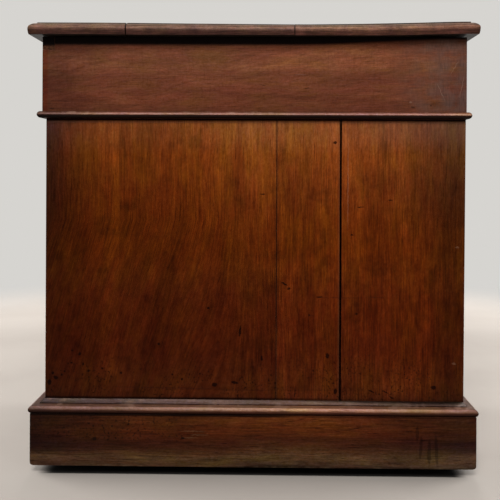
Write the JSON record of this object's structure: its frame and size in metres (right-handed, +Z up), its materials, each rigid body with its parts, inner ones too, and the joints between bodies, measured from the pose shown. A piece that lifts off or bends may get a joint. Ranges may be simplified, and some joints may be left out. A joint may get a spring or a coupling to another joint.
{
  "type": "pedestal desk",
  "caption": "Mahogany pedestal desk: moulded top with a leather writing panel, frieze drawers, two drawer pedestals on moulded plinths, and swivel castors hidden in the plinths.",
  "frame": {"origin": "on the floor, under the middle of the desk's bounding box", "axes": "+X along the length, to the right of someone who faces the drawers; the drawers face -Y; +Z up"},
  "size_m": [1.371, 0.768, 0.762],
  "materials": {
    "mahogany": "polished",
    "oak": "unfinished",
    "leather": "tooled",
    "iron": "worn",
    "brass": "worn"
  },
  "bodies": {
    "carcass": {"castor_plates": "iron", "frieze_back": "mahogany", "frieze_end_left": "mahogany", "frieze_end_right": "mahogany", "frieze_moulding": "mahogany", "frieze_partitions": "mahogany", "frieze_rails": "mahogany", "frieze_runners": "oak", "left_drawer_runners": "oak", "left_inner_side": "mahogany", "left_outer_side": "mahogany", "left_pedestal_back": "mahogany", "left_pedestal_shelves": "mahogany", "left_plinth": "mahogany", "left_plinth_moulding": "mahogany", "right_drawer_runners": "oak", "right_inner_side": "mahogany", "right_outer_side": "mahogany", "right_pedestal_back": "mahogany", "right_pedestal_shelves": "mahogany", "right_plinth": "mahogany", "right_plinth_moulding": "mahogany", "top_board_back": "mahogany", "top_board_front": "mahogany", "top_board_middle": "mahogany", "writing_leather": "leather"},
    "frieze_left_drawer": {"frieze_left_drawer_front": "mahogany", "frieze_left_drawer_box": "oak"},
    "frieze_centre_drawer": {"frieze_centre_drawer_front": "mahogany", "frieze_centre_drawer_box": "oak"},
    "frieze_right_drawer": {"frieze_right_drawer_front": "mahogany", "frieze_right_drawer_box": "oak"},
    "left_top_drawer": {"left_top_drawer_front": "mahogany", "left_top_drawer_box": "oak"},
    "left_middle_drawer": {"left_middle_drawer_front": "mahogany", "left_middle_drawer_box": "oak"},
    "left_bottom_drawer": {"left_bottom_drawer_front": "mahogany", "left_bottom_drawer_box": "oak"},
    "right_top_drawer": {"right_top_drawer_front": "mahogany", "right_top_drawer_box": "oak"},
    "right_middle_drawer": {"right_middle_drawer_front": "mahogany", "right_middle_drawer_box": "oak"},
    "right_bottom_drawer": {"right_bottom_drawer_front": "mahogany", "right_bottom_drawer_box": "oak"},
    "left_front_outer_castor_swivel": {"left_front_outer_castor_fork": "iron"},
    "left_front_outer_castor_roller": {"left_front_outer_castor_wheel": "brass"},
    "left_front_inner_castor_swivel": {"left_front_inner_castor_fork": "iron"},
    "left_front_inner_castor_roller": {"left_front_inner_castor_wheel": "brass"},
    "left_back_outer_castor_swivel": {"left_back_outer_castor_fork": "iron"},
    "left_back_outer_castor_roller": {"left_back_outer_castor_wheel": "brass"},
    "left_back_inner_castor_swivel": {"left_back_inner_castor_fork": "iron"},
    "left_back_inner_castor_roller": {"left_back_inner_castor_wheel": "brass"},
    "right_front_outer_castor_swivel": {"right_front_outer_castor_fork": "iron"},
    "right_front_outer_castor_roller": {"right_front_outer_castor_wheel": "brass"},
    "right_front_inner_castor_swivel": {"right_front_inner_castor_fork": "iron"},
    "right_front_inner_castor_roller": {"right_front_inner_castor_wheel": "brass"},
    "right_back_outer_castor_swivel": {"right_back_outer_castor_fork": "iron"},
    "right_back_outer_castor_roller": {"right_back_outer_castor_wheel": "brass"},
    "right_back_inner_castor_swivel": {"right_back_inner_castor_fork": "iron"},
    "right_back_inner_castor_roller": {"right_back_inner_castor_wheel": "brass"}
  },
  "joints": [
    {"name": "frieze_left_drawer_slide", "type": "slide", "parent": "carcass", "child": "frieze_left_drawer", "axis": [0, -1, 0], "range_m": [0, 0.5]},
    {"name": "frieze_centre_drawer_slide", "type": "slide", "parent": "carcass", "child": "frieze_centre_drawer", "axis": [0, -1, 0], "range_m": [0, 0.5]},
    {"name": "frieze_right_drawer_slide", "type": "slide", "parent": "carcass", "child": "frieze_right_drawer", "axis": [0, -1, 0], "range_m": [0, 0.5]},
    {"name": "left_top_drawer_slide", "type": "slide", "parent": "carcass", "child": "left_top_drawer", "axis": [0, -1, 0], "range_m": [0, 0.5]},
    {"name": "left_middle_drawer_slide", "type": "slide", "parent": "carcass", "child": "left_middle_drawer", "axis": [0, -1, 0], "range_m": [0, 0.5]},
    {"name": "left_bottom_drawer_slide", "type": "slide", "parent": "carcass", "child": "left_bottom_drawer", "axis": [0, -1, 0], "range_m": [0, 0.5]},
    {"name": "right_top_drawer_slide", "type": "slide", "parent": "carcass", "child": "right_top_drawer", "axis": [0, -1, 0], "range_m": [0, 0.5]},
    {"name": "right_middle_drawer_slide", "type": "slide", "parent": "carcass", "child": "right_middle_drawer", "axis": [0, -1, 0], "range_m": [0, 0.5]},
    {"name": "right_bottom_drawer_slide", "type": "slide", "parent": "carcass", "child": "right_bottom_drawer", "axis": [0, -1, 0], "range_m": [0, 0.5]},
    {"name": "left_front_outer_castor_turn", "type": "hinge", "parent": "carcass", "child": "left_front_outer_castor_swivel", "pos_m": [-0.59764, -0.30865, 0.0605], "axis": [0, 0, 1], "continuous": true},
    {"name": "left_front_outer_castor_roll", "type": "hinge", "parent": "left_front_outer_castor_swivel", "child": "left_front_outer_castor_roller", "pos_m": [-0.59764, -0.29064, 0.019], "axis": [1, 0, 0], "continuous": true},
    {"name": "left_front_inner_castor_turn", "type": "hinge", "parent": "carcass", "child": "left_front_inner_castor_swivel", "pos_m": [-0.33036, -0.30865, 0.0605], "axis": [0, 0, 1], "continuous": true},
    {"name": "left_front_inner_castor_roll", "type": "hinge", "parent": "left_front_inner_castor_swivel", "child": "left_front_inner_castor_roller", "pos_m": [-0.33036, -0.29064, 0.019], "axis": [1, 0, 0], "continuous": true},
    {"name": "left_back_outer_castor_turn", "type": "hinge", "parent": "carcass", "child": "left_back_outer_castor_swivel", "pos_m": [-0.59764, 0.30164, 0.0605], "axis": [0, 0, 1], "continuous": true},
    {"name": "left_back_outer_castor_roll", "type": "hinge", "parent": "left_back_outer_castor_swivel", "child": "left_back_outer_castor_roller", "pos_m": [-0.59764, 0.31965, 0.019], "axis": [1, 0, 0], "continuous": true},
    {"name": "left_back_inner_castor_turn", "type": "hinge", "parent": "carcass", "child": "left_back_inner_castor_swivel", "pos_m": [-0.33036, 0.30164, 0.0605], "axis": [0, 0, 1], "continuous": true},
    {"name": "left_back_inner_castor_roll", "type": "hinge", "parent": "left_back_inner_castor_swivel", "child": "left_back_inner_castor_roller", "pos_m": [-0.33036, 0.31965, 0.019], "axis": [1, 0, 0], "continuous": true},
    {"name": "right_front_outer_castor_turn", "type": "hinge", "parent": "carcass", "child": "right_front_outer_castor_swivel", "pos_m": [0.59764, -0.30865, 0.0605], "axis": [0, 0, 1], "continuous": true},
    {"name": "right_front_outer_castor_roll", "type": "hinge", "parent": "right_front_outer_castor_swivel", "child": "right_front_outer_castor_roller", "pos_m": [0.59764, -0.29064, 0.019], "axis": [1, 0, 0], "continuous": true},
    {"name": "right_front_inner_castor_turn", "type": "hinge", "parent": "carcass", "child": "right_front_inner_castor_swivel", "pos_m": [0.33036, -0.30865, 0.0605], "axis": [0, 0, 1], "continuous": true},
    {"name": "right_front_inner_castor_roll", "type": "hinge", "parent": "right_front_inner_castor_swivel", "child": "right_front_inner_castor_roller", "pos_m": [0.33036, -0.29064, 0.019], "axis": [1, 0, 0], "continuous": true},
    {"name": "right_back_outer_castor_turn", "type": "hinge", "parent": "carcass", "child": "right_back_outer_castor_swivel", "pos_m": [0.59764, 0.30164, 0.0605], "axis": [0, 0, 1], "continuous": true},
    {"name": "right_back_outer_castor_roll", "type": "hinge", "parent": "right_back_outer_castor_swivel", "child": "right_back_outer_castor_roller", "pos_m": [0.59764, 0.31965, 0.019], "axis": [1, 0, 0], "continuous": true},
    {"name": "right_back_inner_castor_turn", "type": "hinge", "parent": "carcass", "child": "right_back_inner_castor_swivel", "pos_m": [0.33036, 0.30164, 0.0605], "axis": [0, 0, 1], "continuous": true},
    {"name": "right_back_inner_castor_roll", "type": "hinge", "parent": "right_back_inner_castor_swivel", "child": "right_back_inner_castor_roller", "pos_m": [0.33036, 0.31965, 0.019], "axis": [1, 0, 0], "continuous": true}
  ]
}
